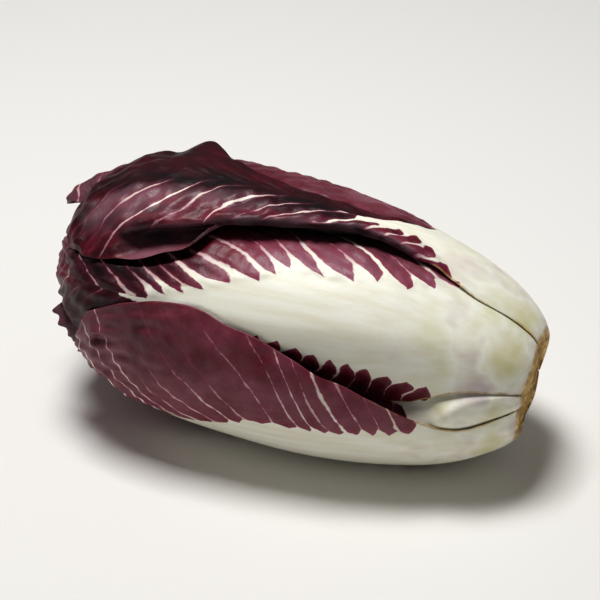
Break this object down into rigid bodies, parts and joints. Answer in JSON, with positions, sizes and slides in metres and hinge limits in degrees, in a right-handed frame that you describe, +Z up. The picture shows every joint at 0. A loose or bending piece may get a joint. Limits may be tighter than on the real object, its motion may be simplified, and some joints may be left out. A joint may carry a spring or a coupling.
{
  "type": "radicchio head",
  "caption": "Long head of red radicchio lying on its side: wine-red leaves with thick white ribs wrapped round a dense heart, cut at the stem.",
  "frame": {"origin": "on the surface that the head lies on, under the middle of its outline", "axes": "+X along the head towards the cut stem, +Y towards the back, +Z up"},
  "size_m": [0.1796, 0.0956, 0.0951],
  "materials": {
    "crown_leaf": "fresh leaf skin, dark wine red, soft satin sheen",
    "lower_leaf": "fresh leaf skin, maroon with thin pale veins over a white rib",
    "top_leaf": "fresh leaf skin, wine red with long pink veins over a white rib",
    "back_leaf": "fresh leaf skin, dark wine red with pale veins over a white rib",
    "under_leaf": "fresh leaf skin, maroon over a white rib",
    "front_leaf": "fresh waxy rib, near white, with wine-red lobes along both sides",
    "wedge_leaf": "fresh waxy rib, off white",
    "inner_leaf": "crinkled dark red leaf tips with a grey sheen",
    "heart": "small dark red leaf tips, tightly closed",
    "stem": "cut stem, dried and browned, rough and dry"
  },
  "bodies": {
    "root": {"leaf_crown": "crown_leaf", "leaf_lower": "lower_leaf", "leaf_top": "top_leaf", "leaf_back": "back_leaf", "leaf_under": "under_leaf", "leaf_front": "front_leaf", "leaf_wedge": "wedge_leaf", "leaf_inner_top": "inner_leaf", "leaf_inner_front": "inner_leaf", "leaf_inner_back": "inner_leaf", "leaf_inner_under": "inner_leaf", "heart": "heart", "stem": "stem"}
  },
  "joints": []
}
